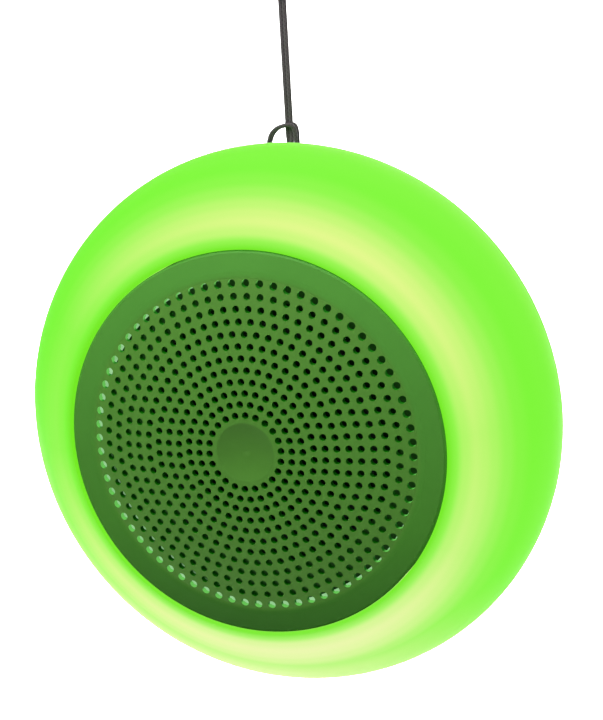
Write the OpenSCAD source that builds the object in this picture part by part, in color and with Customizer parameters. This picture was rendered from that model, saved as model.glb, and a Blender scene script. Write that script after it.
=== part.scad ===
// Hanging shower speaker with a glowing shell.
// World frame: +Z up along the lanyard, -Y the front, origin inside the top of the hanging loop,
// where a hook carries it. The round body is drawn along its own axis first: in every body part
// below, z is the depth behind the grille's rim, x is to the right and y is down.

/* [Shell] */
// Widest diameter of the body
shell_d = 130; // [128:1:132]
// Half of the depth that the shell's oval section would have if it were whole
half_depth = 36.3; // [35.8:0.1:36.8]
// Depth of the widest place behind the grille's rim
widest_at = 26.6; // [26.2:0.1:27]
// Wall of the shell and of the rear housing
wall = 2.2; // [2:0.1:2.4]
// Depth of the flat back behind the grille's rim
back_at = 58; // [58:0.1:58.4]

/* [Grille] */
// Outer diameter of the grille
grille_d = 89; // [88.6:0.1:89.2]
// Height of the perforated dome above the rim
dome_h = 4.8; // [4.4:0.1:5.2]
// Thickness of the grille's wall
grille_t = 1.6; // [1.4:0.1:1.8]
// Diameter of a sound hole
hole_d = 1.6; // [1.4:0.1:1.7]
// Diameter of a sound hole in the outermost ring
outer_hole_d = 1.8; // [1.5:0.1:1.9]

/* [Controls] */
// How far a button stands proud of the flat back
button_proud = 0.7; // [0.5:0.1:0.9]
// Gap round a button in its hole
button_gap = 0.3; // [0.25:0.05:0.4]

/* [Lanyard] */
// Drop from the hook to the body's axis
hang_drop = 118; // [116:1:124]
// Diameter of one strand of the cord
strand_d = 1; // [0.9:0.05:1]
// Diameter of the bar that the lanyard is hitched to
bar_d = 3.8; // [3.6:0.1:3.8]

/* [Hidden] */
$fn = 96;
eps = 0.01;

shell_r = shell_d / 2;
grille_r = grille_d / 2;
cord_behind_rim = 42;         // depth of the lanyard behind the grille's rim
axis_beside_cord = 1.5;       // the body's axis passes this far to the right of the lanyard
split_at = 38;                // depth of the joint between shell and rear housing
neck_r = grille_r + 0.15;     // front opening of the shell
tube_r = 44.2;                // outside of the chassis tube
baffle_at = 12;               // front face of the plate that carries the driver
flange_at = 33.5;             // front face of the chassis's rear flange
floor_at = back_at - 2;       // recess floor under the control panel
inside_at = back_at - 3.2;    // inner face of the back wall
panel_r = 27;
screw_ring = 48;              // radius of the four case screws
board_at = 47.8;              // front face of the main board
board_t = 1.6;
key_top = inside_at - 0.8;    // underside of a button cap

// Buttons: x, y, cap radius
power_at = [0, -17.5, 3.4];
play_at = [0, -4, 5.5];
minus_at = [13.5, -4, 4];
plus_at = [-13.5, -4, 4];
light_at = [0, 8.4, 3.4];
buttons = [power_at, play_at, minus_at, plus_at, light_at];
lens_at = [7.5, -15.5];
mic_at = [-7.5, -15.5];

// Charging port cover: a flap on a pin along its lower edge
cover_w = 14;
cover_top = 15;
pin_y = 23.6;
pin_z = 57.05;
pin_r = 0.4;
knuckle_r = 0.95;
usb_y = 18.6;

// Sound holes: twelve rings, all starting on one radial line
ring_counts = [22, 28, 34, 38, 44, 50, 53, 59, 65, 68, 70, 72];
first_hole_turn = -118.6;
function ring_r(i) = 8.52 + 2.448 * i + 0.0163 * i * i;

bar_x = -4.1;                 // the lanyard bar sits beside the cord
bar_y = 57.5;                 // height of the bar above the body's axis
// Route of the cord, one strand in world x, y, z. It goes up round the hook's eye and down, then
// round the bar, round both standing strands, round the bar again and back up.
eye_route = [[-0.5, 0, -17.2], [-0.5, 0, -15], [-1.1, 0, -12.5], [-3, 0, -8.5], [-4, 0, -4.5],
  [-3.2, 0, -1.3], [0, 0, 0.5], [3.2, 0, -1.3], [4, 0, -4.5], [3, 0, -8.5], [1.1, 0, -12.5],
  [0.5, 0, -15], [0.5, 0, -18]];
hitch_route = [[0.5, 0, -49], [0.5, 0, -53], [0.3, -0.4, -56.5], [0, -0.6, -60],
  [-0.8, -0.6, -62.2], [-2.6, -0.6, -63.1], [-4.5, -0.6, -62.2], [-5.3, -0.6, -60.3],
  [-5.4, -0.6, -57], [-5.2, -0.6, -54.5], [-4.3, -0.8, -52.4], [-2.7, -1, -51.1],
  [-1, -1.1, -50.6], [0.4, -1.15, -50.4], [1.3, -1, -51], [1.65, -0.8, -52.4], [1.7, -0.7, -54],
  [1.7, -0.65, -55.3], [1.7, 0, -56.1], [1.7, 0.65, -55.3], [1.7, 0.7, -54], [1.65, 0.8, -52.4],
  [1.3, 1, -51], [0.4, 1.15, -50.4], [-1, 1.1, -50.6], [-2.7, 1, -51.1], [-4.3, 0.8, -52.4],
  [-5.2, 0.6, -54.5], [-5.4, 0.6, -57], [-5.3, 0.6, -60.3], [-4.5, 0.6, -62.2],
  [-2.6, 0.6, -63.1], [-0.8, 0.6, -62.2], [0, 0.6, -60], [-0.3, 0.4, -56.5], [-0.5, 0, -53],
  [-0.5, 0, -49]];
// Routes of the wires, each in its own y, z plane
speaker_wire_route = [[0, 0, 0], [0, 1.5, 3], [0, 5, 6], [0, 7, 10], [0, 6, 15], [0, 3, 20],
  [0, -1, 23.5], [0, -1.8, 25.7]];
light_wire_route = [[0, 0, 0], [0, 0, 4.5], [0, 2, 7.5], [0, 7, 9.5], [0, 13, 11], [0, 18, 12.5],
  [0, 21.5, 13.5], [0, 23, 15.7]];
battery_wire_route = [[0, 0, 0], [0, 2, 0], [0, 4.5, 1], [0, 5.5, 3.5], [0, 4.5, 5.6],
  [0, 1.5, 6.2], [0, 0, 6.2]];

// ---------- helpers ----------

// Radius of an oval section of the given half width and half depth, at depth z
function oval_r(z, half_w, half_d) = half_w * sqrt(1 - pow((z - widest_at) / half_d, 2));
// Points on that section from depth a to depth b, in n steps
function oval(a, b, n, half_w, half_d) =
  let (p = asin((a - widest_at) / half_d), q = asin((b - widest_at) / half_d))
  [for (i = [0 : n]) let (t = p + (q - p) * i / n) [half_w * cos(t), widest_at + half_d * sin(t)]];
// Depth of the front half of the section where its radius is r
function oval_front(r, half_w, half_d) = widest_at - half_d * sqrt(1 - pow(r / half_w, 2));

// Smooth curve through the points of a route, with k steps between two points
function at(p, i) = p[max(0, min(len(p) - 1, i))];
function smooth_route(p, k) = [for (i = [0 : len(p) - 2], s = [0 : k - 1])
  let (t = s / k, a = at(p, i - 1), b = p[i], c = p[i + 1], d = at(p, i + 2))
  0.5 * (2 * b + (c - a) * t + (2 * a - 5 * b + 4 * c - d) * t * t
    + (3 * b - a - 3 * c + d) * t * t * t), p[len(p) - 1]];
function unit(v) = v / norm(v);
function along(p, i) = unit(at(p, i + 1) - at(p, i - 1));
// Each ring's own side direction, carried on from the last one without twist
function sides(p, i, last) = let (t = along(p, i), s = unit(last - t * (last * t)))
  i == len(p) - 1 ? [s] : concat([s], sides(p, i + 1, s));
// Closed tube of diameter d round the points p
module tube(p, d, n = 8, first = [0, 1, 0]) {
  s = sides(p, 0, first);
  rings = [for (i = [0 : len(p) - 1], j = [0 : n - 1]) let (t = along(p, i), a = j * 360 / n)
    p[i] + d / 2 * (s[i] * cos(a) + cross(t, s[i]) * sin(a))];
  last = (len(p) - 1) * n;
  polyhedron(points = rings, convexity = 10, faces = concat(
    [[for (j = [0 : n - 1]) j]], [[for (j = [n - 1 : -1 : 0]) last + j]],
    [for (i = [0 : len(p) - 2], j = [0 : n - 1]) let (k = (j + 1) % n)
      [i * n + j, (i + 1) * n + j, (i + 1) * n + k, i * n + k]]));
}

// Places a part drawn along the body's own axis in the world
module in_body() translate([axis_beside_cord, -cord_behind_rim, -hang_drop])
  rotate([-90, 0, 0]) children();
module ring(r_in, r_out, from, to) translate([0, 0, from]) difference() {
  cylinder(r = r_out, h = to - from);
  translate([0, 0, -1]) cylinder(r = r_in, h = to - from + 2);
}
module disc(r, from, to, at = [0, 0]) translate([at[0], at[1], from]) cylinder(r = r, h = to - from);
module around(n, r, turn = 0) for (i = [0 : n - 1]) rotate(turn + i * 360 / n) translate([r, 0]) children();
// Where the wires of the lamps pass through board, reflector and chassis
module at_light_wires() rotate(100) translate([50, 0]) children();
module slab(x, y, from, to, at = [0, 0])
  translate([at[0] - x / 2, at[1] - y / 2, from]) cube([x, y, to - from]);
// Flat shape with round ends, w across and h high
module slot_shape(w, h) {
  square([w - h, h], center = true);
  for (s = [-1, 1]) translate([s * (w - h) / 2, 0]) circle(d = h, $fn = 32);
}

// ---------- front ----------

// Section of the grille's dome at the given height above the rim, from radius c outwards
crown_c = 6;
crown_r = (pow(38.4 - crown_c, 2) + dome_h * dome_h) / (2 * dome_h);
module crown_section(top, reach) {
  translate([0, -2]) square([crown_c + eps, top + 2]);
  intersection() {
    translate([crown_c, top - crown_r]) circle(r = crown_r, $fn = 720);
    translate([crown_c, -2]) square([reach - crown_c, top + 3]);
  }
}
module grille_blank() mirror([0, 0, 1]) {
  difference() {
    rotate_extrude($fn = 180) difference() {
      crown_section(dome_h, 40);
      translate([-eps, 0]) crown_section(dome_h - grille_t, 39);
      translate([-1, -3]) square([50, 3 - 0.9]);
    }
    translate([0, 0, dome_h + 22.4]) sphere(r = 23.4, $fn = 120);
  }
  rotate_extrude($fn = 180) polygon([[38, -1.5], [38, 0], [39, -0.02], [40, -0.07],
    [grille_r - 0.5, -0.55], [grille_r, -0.95], [grille_r, -4.4], [grille_r - 1.9, -4.4],
    [grille_r - 1.9, -2.3], [39, -2.3], [39, -1.5]]);
  translate([0, 0, dome_h - 3]) cylinder(r = 7.6, h = 1.6);
}
module sound_holes() for (i = [0 : len(ring_counts) - 1])
  rotate(first_hole_turn) for (k = [0 : ring_counts[i] - 1])
    rotate(k * 360 / ring_counts[i]) translate([ring_r(i), 0])
      circle(d = i == len(ring_counts) - 1 ? outer_hole_d : hole_d, $fn = 24);
module front_grille() color("darkolivegreen") in_body() difference() {
  grille_blank();
  translate([0, 0, -10]) linear_extrude(20) sound_holes();
}
module grille_seal() color("dimgray") in_body() ring(tube_r - 1.6, tube_r, 4.45, 5);
// Clear ring that carries light to the edge of the grille, with a lip behind the outermost holes
module light_guide() color("honeydew") in_body() rotate_extrude($fn = 180)
  polygon([[37.9, 2.4], [42.2, 2.4], [42.2, baffle_at], [39.9, baffle_at], [39.9, 3.8], [37.9, 3.4]]);

module glow_shell() color("greenyellow") in_body() rotate_extrude($fn = 240) polygon(concat(
  oval(oval_front(neck_r, shell_r, half_depth), split_at, 22, shell_r, half_depth),
  oval(split_at, oval_front(neck_r + 1.8, shell_r - wall, half_depth - wall), 22,
    shell_r - wall, half_depth - wall),
  [[neck_r + 1.8, 6], [neck_r, 6]]));
module neck_seal() color("dimgray") in_body() ring(tube_r + 0.02, neck_r - 0.03, 5.1, 5.9);
module split_seal() color("dimgray") in_body() rotate_extrude($fn = 180)
  translate([59.32, 36.6]) circle(r = 0.45, $fn = 32);

// ---------- chassis and light ----------

module chassis() color("darkgreen") in_body() difference() {
  union() {
    ring(tube_r - 1.7, tube_r, 5, flange_at + eps);
    ring(24.9, tube_r - 1.7 + eps, baffle_at, baffle_at + 2);
    ring(tube_r - 1.7, 57, flange_at, flange_at + 2);
    around(4, 28.8, 45) disc(2.6, baffle_at + 1, baffle_at + 5);
    around(4, screw_ring, 45) disc(3.4, flange_at + 1, 39.5);
  }
  around(4, 28.8, 45) disc(1.1, baffle_at - 1, baffle_at + 4.4);
  around(4, screw_ring, 45) disc(1.5, flange_at - 1, 41);
  at_light_wires() disc(1.6, flange_at - 1, flange_at + 3);
}
module reflector() color("white") in_body() difference() {
  rotate_extrude($fn = 180) polygon([[tube_r + 0.1, flange_at - 1], [57.6, flange_at - 1],
    [60.8, 29.5], [61.6, 29.5], [61.6, 30], [58.2, flange_at], [tube_r + 0.1, flange_at]]);
  at_light_wires() disc(1.6, flange_at - 3, flange_at + 3);
}
module led_board() color("white") in_body() difference() {
  ring(46, 57, flange_at - 2.6, flange_at - 1);
  at_light_wires() disc(1.6, flange_at - 4, flange_at + 3);
}
module leds() color("lightyellow") in_body() around(24, 52, 7.5)
  slab(3.5, 2.8, flange_at - 4, flange_at - 2.6);

// ---------- loudspeaker driver ----------

module driver_frame() color("#303030") in_body() difference() {
  union() {
    ring(24.2, 31, 11, baffle_at);
    rotate_extrude() polygon([[24.8, 11.4], [24.8, 13.5], [17.6, 22.6], [17.2, 25.2], [8.2, 25.2],
      [8.2, 24.4], [15, 24.4], [15, 21.9], [16.6, 21.9], [23.6, 13.1], [23.6, 11.4]]);
  }
  around(4, 28.8, 45) disc(1.35, 10, 14);
  around(4, 20.6, 0) translate([0, 0, 18]) rotate([0, 90, 0]) cylinder(r = 3.4, h = 9, center = true);
}
module driver_gasket() color("black") in_body() ring(24.2, 26.3, 9.9, 10.5);
module driver_screws() color("silver") in_body() around(4, 28.8, 45) difference() {
  union() {
    disc(2.1, 9.6, 11);
    disc(1.1, 11 - eps, 16);
  }
  slab(2.6, 0.5, 9, 10.1);
  slab(0.5, 2.6, 9, 10.1);
}
module surround() color("#202020") in_body() rotate_extrude() difference() {
  union() {
    translate([24.2, 10.5]) square([2.1, 0.5]);
    translate([22.1, 10.9]) circle(r = 2.1, $fn = 48);
  }
  translate([22.1, 10.9]) circle(r = 1.6, $fn = 48);
  translate([19, 11]) square([8, 4]);
}
module cone() color("#262626") in_body() rotate_extrude() polygon([[20.2, 11.1], [19.6, 11.1],
  [7.8, 19.4], [7.8, 20.1], [8.2, 20.1], [20.2, 11.7]]);
module dust_cap() color("#1c1c1c") in_body() intersection() {
  translate([0, 0, 27.2]) difference() {
    sphere(r = 12);
    sphere(r = 11.6);
  }
  disc(8.1, 10, 18.6);
}
module voice_coil() color("peru") in_body() {
  ring(7.05, 7.3, 19, 29);
  ring(7.3 - eps, 7.65, 24.6, 28.8);
}
module spider() color("goldenrod") in_body() rotate_extrude() polygon(concat(
  [for (i = [0 : 16]) [7.8 + i * 0.5, 21.1 + 0.45 * sin(i * 90)]],
  [for (i = [16 : -1 : 0]) [7.8 + i * 0.5, 21.5 + 0.45 * sin(i * 90)]]));
module top_plate() color("silver") in_body() ring(7.95, 16, 25.2, 28.2);
module magnet() color("#383838") in_body() ring(9.6, 17.4, 28.2, 33);
module yoke() color("silver") in_body() {
  disc(16, 33, 35.4);
  disc(6.8, 25.4, 33 + eps);
}
module terminal_strip() color("tan") in_body() slab(9, 1.2, 19, 25, [0, 21.4]);

// ---------- rear ----------

module outer_solid() rotate_extrude($fn = 240) polygon(concat(
  oval(split_at + 0.15, back_at - 1.2, 16, shell_r, half_depth),
  [[oval_r(back_at - 1.2, shell_r, half_depth) - 1.1, back_at - 0.3],
   [oval_r(back_at - 1.2, shell_r, half_depth) - 2.4, back_at], [0, back_at], [0, split_at + 0.15]]));
module rear_cup() rotate_extrude($fn = 240) polygon(concat(
  oval(split_at + 0.15, back_at - 1.2, 16, shell_r, half_depth),
  [[oval_r(back_at - 1.2, shell_r, half_depth) - 1.1, back_at - 0.3],
   [oval_r(back_at - 1.2, shell_r, half_depth) - 2.4, back_at], [panel_r + 0.15, back_at],
   [panel_r + 0.15, floor_at], [0, floor_at], [0, inside_at]],
  oval(inside_at, 40, 12, shell_r - wall, half_depth - wall),
  [[57, 40], [57, 35.6], [59, 35.6], [59, 36], [58.8, 36], [58.8, 37.3], [59, 37.3],
   [59, split_at + 0.15]]));
module rear_housing() color("darkgreen") in_body() difference() {
  union() {
    rear_cup();
    intersection() {
      outer_solid();
      union() {
        around(4, screw_ring, 45) disc(5, 39.6, 56);
        disc(8, split_at + 0.15, 48, [bar_x, -59.5]);
        for (s = [-1, 1]) disc(3, 46.5, 56, [s * 36, 0]);
        around(3, 23.5, 90) disc(2.4, board_at + board_t, 56);
      }
    }
    // ear that carries the rear end of the lanyard bar
    disc(3.3, 45.2, 48, [bar_x, -bar_y]);
  }
  around(4, screw_ring, 45) {
    disc(3.2, 43, 60);
    disc(1.7, 38, 50);
  }
  disc(6, 39.9, 45.2, [bar_x, -59.5]);
  disc(bar_d / 2, 38.6, 47, [bar_x, -bar_y]);
  for (s = [-1, 1]) disc(0.9, 46, 53, [s * 36, 0]);
  around(3, 23.5, 90) disc(0.7, board_at, 54);
  for (b = buttons) disc(b[2] + button_gap, 50, 60, b);
  disc(1.05, 50, 60, lens_at);
  disc(0.6, 50, 60, mic_at);
  translate([0, usb_y, 50]) linear_extrude(10) slot_shape(10.2, 5);
}
module control_panel() color("#1d2b1a") in_body() difference() {
  disc(panel_r, floor_at, back_at - 0.1);
  for (b = buttons) disc(b[2] + button_gap, 50, 60, b);
  disc(1.05, 50, 60, lens_at);
  disc(0.6, 50, 60, mic_at);
  slab(cover_w + 0.7, 10.25, 50, 60, [0, cover_top - 0.3 + 5.125]);
  // notch for a fingernail above the cover
  disc(3, back_at - 1, 60, [0, cover_top]);
  translate([-9, pin_y, pin_z]) rotate([0, 90, 0]) cylinder(r = pin_r, h = 18, $fn = 32);
}
module foot_ring() color("#222222") in_body() rotate_extrude($fn = 180) polygon([[28, back_at],
  [28, back_at + 1.1], [28.4, back_at + 1.5], [30.4, back_at + 1.5], [30.8, back_at + 1.1],
  [30.8, back_at]]);
module case_screws() color("silver") in_body() around(4, screw_ring, 45) difference() {
  union() {
    disc(2.9, 43, 45);
    disc(1.5, 34, 43 + eps);
  }
  slab(3.2, 0.7, 44, 46);
  slab(0.7, 3.2, 44, 46);
}

// ---------- electronics ----------

module main_board() color("#1d6b35") in_body() difference() {
  disc(28, board_at, board_at + board_t);
  around(3, 23.5, 90) disc(1, board_at - 1, board_at + 3);
}
module board_parts() color("#262626") in_body() {
  slab(7, 7, board_at - 1, board_at, [-11, -9]);
  slab(5, 4, board_at - 1.2, board_at, [9, -10]);
  slab(6, 5, board_at - 1.5, board_at, [-12, 7]);
  slab(4.2, 4.2, board_at - 1.8, board_at, [11, 5]);
  for (x = [-3, 3]) disc(1.9, board_at - 2.2, board_at, [x, 14]);
  for (i = [0 : 5]) slab(1.2, 0.8, board_at - 0.6, board_at, [-6 + i * 2.4, -16]);
  slab(6, 3, board_at - 2, board_at, [16, 14]);
}
module board_screws() color("silver") in_body() around(3, 23.5, 90) {
  disc(1.6, board_at - 1.1, board_at);
  disc(0.7, board_at - eps, 53);
}
module key_switches() color("#2b2b2b") in_body() for (b = buttons) difference() {
  slab(5.6, 5.6, board_at + board_t, 52.6, b);
  disc(1.85, 50.6, 60, b);
}
module usb_socket() color("silver") in_body() {
  translate([0, usb_y, board_at + board_t]) difference() {
    linear_extrude(5.6) slot_shape(8.94, 3.26);
    translate([0, 0, 1]) linear_extrude(6) slot_shape(8.34, 2.56);
  }
  slab(6.6, 0.7, board_at + board_t + 0.9, 54, [0, usb_y]);
}
module microphone() color("silver") in_body() disc(2, board_at + board_t, 52, mic_at);
module status_lens() color("white") in_body() {
  disc(1, 52, back_at, lens_at);
  disc(1.5, 51, 52 + eps, lens_at);
}
module battery() color("lightsteelblue") in_body() {
  slab(50, 34, 37.4, 44.2);
  slab(12, 2, 39, 42.6, [0, -18]);
}
module battery_tray() color("#e8e8e0") in_body() {
  difference() {
    slab(53, 38.4, 38.4, 45.2);
    slab(50.4, 36.4, 36, 44.3, [0, -0.6]);
    slab(16, 6, 36, 44.3, [0, -18]);
  }
  for (s = [-1, 1]) difference() {
    union() {
      slab(10, 8, 44.3, 46.5, [s * 31, 0]);
      disc(4, 44.3, 46.5, [s * 36, 0]);
    }
    disc(1.3, 40, 50, [s * 36, 0]);
  }
}
module tray_screws() color("silver") in_body() for (s = [-1, 1]) {
  disc(2.2, 43, 44.3, [s * 36, 0]);
  disc(0.9, 44.3 - eps, 51, [s * 36, 0]);
}
module wire_pair(route, gap) for (s = [-1, 1]) translate([s * gap, 0, 0])
  tube(smooth_route(route, 2), 1.1, 8, [1, 0, 0]);
module speaker_wires() color("firebrick") in_body() translate([0, 22.6, 22])
  wire_pair(speaker_wire_route, 1.6);
module led_wires() color("firebrick") in_body() at_light_wires() translate([0, 0, 32]) rotate(90)
  wire_pair(light_wire_route, 0.6);
module battery_wires() color("firebrick") in_body() translate([0, -19, 41]) rotate(180)
  wire_pair(battery_wire_route, 0.7);

// ---------- controls ----------

module button_cap(b) {
  disc(b[2], key_top, back_at + button_proud - 0.4, b);
  disc(b[2] - 0.4, key_top, back_at + button_proud, b);
  disc(b[2] + 0.9, key_top, inside_at - 0.1, b);
}
module button_plunger(b) disc(1.75, 51.4, key_top, b);
module power_button() color("#2f6b25") in_body() button_cap(power_at);
module power_plunger() color("white") in_body() button_plunger(power_at);
module play_button() color("#2f6b25") in_body() button_cap(play_at);
module play_plunger() color("white") in_body() button_plunger(play_at);
module minus_button() color("#2f6b25") in_body() button_cap(minus_at);
module minus_plunger() color("white") in_body() button_plunger(minus_at);
module plus_button() color("#2f6b25") in_body() button_cap(plus_at);
module plus_plunger() color("white") in_body() button_plunger(plus_at);
module light_button() color("#2f6b25") in_body() button_cap(light_at);
module light_plunger() color("white") in_body() button_plunger(light_at);

module port_cover() color("#2a2a2a") in_body() difference() {
  union() {
    slab(cover_w, pin_y - cover_top, pin_z - 0.75, back_at - 0.1, [0, (pin_y + cover_top) / 2]);
    translate([-cover_w / 2, pin_y, pin_z]) rotate([0, 90, 0])
      cylinder(r = knuckle_r, h = cover_w, $fn = 48);
    translate([0, usb_y, 55.4]) linear_extrude(1) slot_shape(9, 3.4);
  }
  translate([-10, pin_y, pin_z]) rotate([0, 90, 0]) cylinder(r = pin_r + 0.05, h = 20, $fn = 32);
}
module cover_pin() color("silver") in_body() translate([-8.8, pin_y, pin_z]) rotate([0, 90, 0])
  cylinder(r = pin_r, h = 17.6, $fn = 32);

// ---------- lanyard ----------

module lanyard_bar() color("silver") in_body() disc(bar_d / 2, 38.6, 47, [bar_x, -bar_y]);
module lanyard_cord() color("#464644") tube(concat(smooth_route(eye_route, 2),
  [[0.5, 0, -26], [0.5, 0, -34], [0.5, 0, -42]], smooth_route(hitch_route, 2),
  [[-0.5, 0, -42], [-0.5, 0, -34], [-0.5, 0, -26], [-0.5, 0, -18]]), strand_d);
module lanyard_crimp() color("#3a3a3a") difference() {
  translate([0, 0, -20]) cylinder(r = 1.9, h = 5.4, $fn = 32);
  translate([0, 0, -21]) linear_extrude(8) for (s = [-1, 1]) translate([s * 0.5, 0])
    circle(r = 0.51, $fn = 24);
}

front_grille();
grille_seal();
light_guide();
glow_shell();
neck_seal();
split_seal();
chassis();
reflector();
led_board();
leds();
driver_frame();
driver_gasket();
driver_screws();
surround();
cone();
dust_cap();
voice_coil();
spider();
top_plate();
magnet();
yoke();
terminal_strip();
rear_housing();
control_panel();
foot_ring();
case_screws();
main_board();
board_parts();
board_screws();
key_switches();
usb_socket();
microphone();
status_lens();
battery();
battery_tray();
tray_screws();
speaker_wires();
battery_wires();
led_wires();
power_button();
power_plunger();
play_button();
play_plunger();
minus_button();
minus_plunger();
plus_button();
plus_plunger();
light_button();
light_plunger();
port_cover();
cover_pin();
lanyard_bar();
lanyard_cord();
lanyard_crimp();
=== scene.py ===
"""Hanging shower speaker with a glowing shell: looks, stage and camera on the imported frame."""

import math

import bpy
from mathutils import Matrix, Vector


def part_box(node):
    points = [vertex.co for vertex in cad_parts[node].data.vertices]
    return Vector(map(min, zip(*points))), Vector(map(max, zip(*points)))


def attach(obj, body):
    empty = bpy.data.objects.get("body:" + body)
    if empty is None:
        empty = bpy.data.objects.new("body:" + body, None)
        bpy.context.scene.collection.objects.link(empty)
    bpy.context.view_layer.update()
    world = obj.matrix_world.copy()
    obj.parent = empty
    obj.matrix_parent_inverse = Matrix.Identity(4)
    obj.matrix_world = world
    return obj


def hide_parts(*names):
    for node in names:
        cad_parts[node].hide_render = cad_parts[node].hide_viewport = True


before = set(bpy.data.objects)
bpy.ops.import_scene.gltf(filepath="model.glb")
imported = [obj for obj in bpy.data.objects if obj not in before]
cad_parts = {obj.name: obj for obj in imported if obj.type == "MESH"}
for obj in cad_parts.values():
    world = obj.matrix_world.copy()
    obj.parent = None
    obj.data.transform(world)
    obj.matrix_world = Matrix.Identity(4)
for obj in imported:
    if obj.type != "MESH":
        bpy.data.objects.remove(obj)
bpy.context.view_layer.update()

bl_info = {
    "name": "Hanging shower speaker",
    "version": (1, 0, 0),
    "blender": (4, 5, 0),
    "location": "3D View > Sidebar > Speaker",
    "description": "Shell, controls, lanyard, finishes and stage of a glowing shower speaker",
    "category": "Object",
}

# ---------------------------------------------------------------- sizes, in metres

MM = 0.001
GRILLE_LOW, GRILLE_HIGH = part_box("front_grille")
AXIS_Z = (GRILLE_LOW.z + GRILLE_HIGH.z) / 2  # height of the body's own axis
GRILLE_R = (GRILLE_HIGH.x - GRILLE_LOW.x) / 2
BODY_R = 65 * MM
BACK_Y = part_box("foot_ring")[0].y  # flat back of the housing
RIM_Y = BACK_Y - 58 * MM  # plane of the grille's rim, which depths count from
CENTRE = Vector(((GRILLE_LOW.x + GRILLE_HIGH.x) / 2, RIM_Y, AXIS_Z))
WIDEST_DEPTH = 26.6 * MM  # of the body's oval section, behind the rim
HALF_DEPTH = 36.3 * MM  # of the oval, if it were whole


# ---------------------------------------------------------------- settings


class SpeakerShellSettings(bpy.types.PropertyGroup):
    """Sizes and light of the glowing shell."""

    wall: bpy.props.FloatProperty(
        name="Wall", description="Thickness of the shell", default=2.2 * MM, unit="LENGTH"
    )
    deep: bpy.props.FloatVectorProperty(
        name="Deep glow", description="Colour of the shell away from the lamps",
        subtype="COLOR", size=3, default=(0.20, 0.99, 0.034), min=0, max=1,
    )
    bright: bpy.props.FloatVectorProperty(
        name="Bright glow", description="Colour of the shell over the ring of lamps",
        subtype="COLOR", size=3, default=(0.86, 1.0, 0.30), min=0, max=1,
    )
    edge: bpy.props.FloatVectorProperty(
        name="Edge glow", description="Colour of the shell beside the grille",
        subtype="COLOR", size=3, default=(0.17, 0.82, 0.004), min=0, max=1,
    )
    strength: bpy.props.FloatProperty(
        name="Strength", description="How strongly the shell glows", default=0.91, min=0, max=5
    )


class SpeakerPlasticSettings(bpy.types.PropertyGroup):
    """Colours of the moulded parts."""

    grille: bpy.props.FloatVectorProperty(
        name="Grille", description="Colour of the perforated grille",
        subtype="COLOR", size=3, default=(0.070, 0.215, 0.026), min=0, max=1,
    )
    housing: bpy.props.FloatVectorProperty(
        name="Housing", description="Colour of the rear housing",
        subtype="COLOR", size=3, default=(0.030, 0.100, 0.018), min=0, max=1,
    )
    button: bpy.props.FloatVectorProperty(
        name="Buttons", description="Colour of the button caps",
        subtype="COLOR", size=3, default=(0.090, 0.250, 0.040), min=0, max=1,
    )


class SpeakerLanyardSettings(bpy.types.PropertyGroup):
    """Sizes and colour of the lanyard."""

    strand: bpy.props.FloatProperty(
        name="Strand", description="Diameter of one strand of the cord", default=1 * MM,
        unit="LENGTH",
    )
    colour: bpy.props.FloatVectorProperty(
        name="Cord", description="Colour of the braided cord",
        subtype="COLOR", size=3, default=(0.050, 0.038, 0.044), min=0, max=1,
    )


class SpeakerStageSettings(bpy.types.PropertyGroup):
    """Distance and lens of the camera."""

    distance: bpy.props.FloatProperty(
        name="Distance", description="From the camera to the grille", default=0.404, unit="LENGTH"
    )
    lens: bpy.props.FloatProperty(
        name="Lens", description="Focal length of the camera", default=89.86, min=20, max=200
    )


# ---------------------------------------------------------------- modelling helpers


def clear_selection():
    """Leaves nothing selected or active, so that the next operator acts on its own piece only."""
    if bpy.context.object and bpy.context.object.mode != "OBJECT":
        bpy.ops.object.mode_set(mode="OBJECT")
    bpy.ops.object.select_all(action="DESELECT")


def finish_piece(piece, name, material, body, slot, *nodes, angle=40):
    """Applies a piece's place, smooths, paints and names it, ties it to its body and hides the CAD
    nodes it stands in for.
    """
    clear_selection()
    piece.select_set(True)
    bpy.context.view_layer.objects.active = piece
    bpy.ops.object.transform_apply(location=True, rotation=True, scale=True)
    bpy.ops.object.shade_smooth_by_angle(angle=math.radians(angle))
    piece.name = piece.data.name = name
    piece.data.materials.clear()
    piece.data.materials.append(material)
    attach(piece, body)
    if nodes:
        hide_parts(*nodes)
    clear_selection()
    return piece


def lathe(profile, segments):
    """A closed ring turned round the body's axis from (radius, depth) points in metres."""
    clear_selection()
    radius, depth = profile[0]
    bpy.ops.mesh.primitive_circle_add(
        vertices=segments, radius=radius, fill_type="NOTHING", location=(0, 0, depth)
    )
    piece = bpy.context.object
    bpy.ops.object.transform_apply(location=True)
    bpy.ops.object.mode_set(mode="EDIT")
    bpy.ops.mesh.select_all(action="SELECT")
    for next_radius, next_depth in profile[1:] + profile[:1]:
        bpy.ops.mesh.extrude_edges_move(
            TRANSFORM_OT_translate={"value": (0, 0, next_depth - depth)}
        )
        grow = next_radius / radius
        bpy.ops.transform.resize(value=(grow, grow, 1), center_override=(0, 0, 0))
        radius, depth = next_radius, next_depth
    bpy.ops.mesh.select_all(action="SELECT")
    bpy.ops.mesh.remove_doubles(threshold=1e-6)
    bpy.ops.mesh.normals_make_consistent(inside=False)
    bpy.ops.object.mode_set(mode="OBJECT")
    piece.rotation_euler = (math.radians(-90), 0, 0)
    piece.location = CENTRE
    return piece


def oval_points(half_width, half_depth, start, stop, steps):
    """Points of the body's oval section between two angles from its widest plane, in degrees."""
    return [
        (
            half_width * math.cos(math.radians(start + (stop - start) * i / steps)),
            WIDEST_DEPTH + half_depth * math.sin(math.radians(start + (stop - start) * i / steps)),
        )
        for i in range(steps + 1)
    ]


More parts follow.
